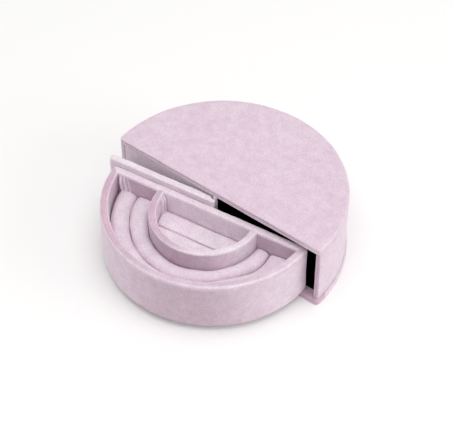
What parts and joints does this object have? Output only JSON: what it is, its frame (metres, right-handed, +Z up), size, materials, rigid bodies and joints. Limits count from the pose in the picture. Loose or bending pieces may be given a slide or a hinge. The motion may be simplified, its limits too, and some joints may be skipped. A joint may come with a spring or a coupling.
{
  "type": "half-moon ring box",
  "caption": "Half-moon velvet ring box whose D-shaped tray with ring rolls and a small dish swings out of the case about an upright pin.",
  "frame": {"origin": "centre of the round wall, on the underside of the base", "axes": "+Z up; the straight front faces -Y; +X is the open half of the front, where the tray swings through"},
  "size_m": [0.1264, 0.1243, 0.0398],
  "materials": {
    "velvet": "lilac pink velvet",
    "black_lining": "black flocked lining",
    "fibreboard": "raw fibreboard",
    "foam": "white foam",
    "pin_steel": "drawn wire"
  },
  "bodies": {
    "case": {"base_board": "fibreboard", "base_cover": "velvet", "floor_lining": "black_lining", "wall_board": "fibreboard", "stop_board": "fibreboard", "wall_cover": "velvet", "wall_lining": "black_lining", "front_panel_board": "fibreboard", "front_panel_cover": "velvet", "hinge_pin": "pin_steel", "top_board": "fibreboard", "top_cover": "velvet", "ceiling_lining": "black_lining"},
    "tray": {"closing_panel_board": "fibreboard", "closing_panel_cover": "velvet", "tray_base_cover": "velvet", "tray_floor_board": "fibreboard", "tray_wall_board": "fibreboard", "tray_back_board": "fibreboard", "tray_wall_cover": "velvet", "dish_board": "fibreboard", "dish_cover": "velvet", "dish_rear_foam": "foam", "dish_rear_cover": "velvet", "dish_front_foam": "foam", "dish_front_cover": "velvet", "outer_roll_foam": "foam", "outer_roll_cover": "velvet", "inner_roll_foam": "foam", "inner_roll_cover": "velvet"}
  },
  "joints": [
    {"name": "tray_swing", "type": "hinge", "parent": "case", "child": "tray", "pos_m": [-0.0009, -0.0044, 0], "axis": [0, 0, 1], "range_deg": [-6, 172.5]}
  ]
}
